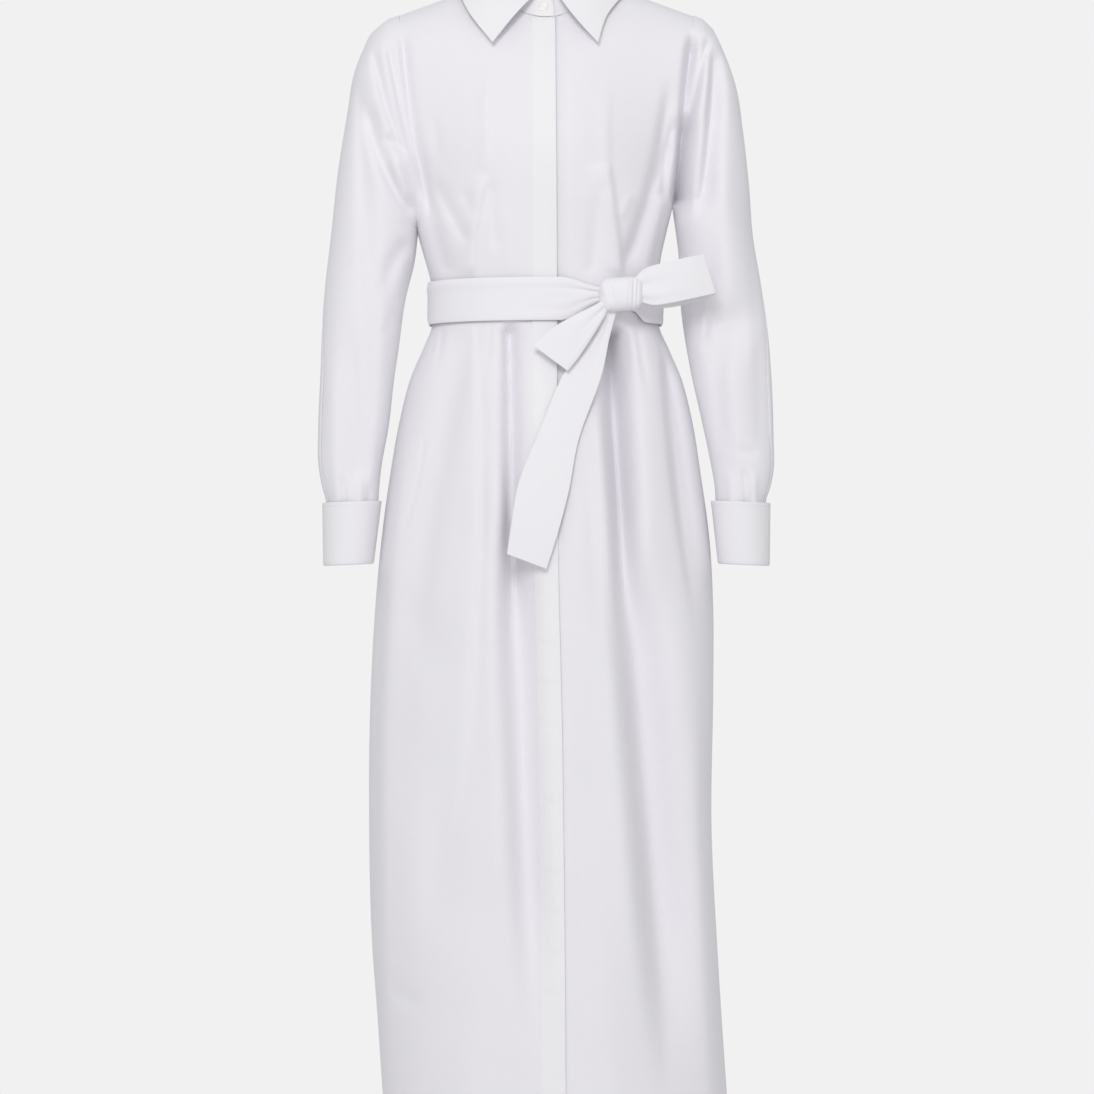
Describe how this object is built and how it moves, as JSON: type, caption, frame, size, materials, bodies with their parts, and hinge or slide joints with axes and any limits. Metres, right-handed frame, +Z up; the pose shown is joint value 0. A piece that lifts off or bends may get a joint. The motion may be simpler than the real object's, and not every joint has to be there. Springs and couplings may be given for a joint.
{
  "type": "shirt dress",
  "caption": "Ankle-length shirt dress with long dolman sleeves, turned-back cuffs, pointed collar, concealed placket and a tied belt, filled out as if worn.",
  "frame": {"origin": "middle of the neck opening, level with the points where the neck seam meets the shoulder seams", "axes": "+Z up the upright garment, the front faces -Y, +X is the wearer's left"},
  "size_m": [0.5335, 0.3032, 1.4547],
  "materials": {
    "cloth": "matt plain weave",
    "faced_cloth": "matt plain weave, interfaced",
    "belt_cloth": "matt plain weave",
    "button": "soft gloss"
  },
  "bodies": {
    "root": {"back": "cloth", "front_right": "cloth", "front_left": "cloth", "placket": "faced_cloth", "cuff_right": "faced_cloth", "cuff_left": "faced_cloth", "collar_stand": "faced_cloth", "collar": "faced_cloth", "button_neck": "button", "belt_wrap": "belt_cloth", "belt_knot": "belt_cloth", "belt_loop": "belt_cloth", "belt_tail_short": "belt_cloth", "belt_tail_long": "belt_cloth"}
  },
  "joints": []
}
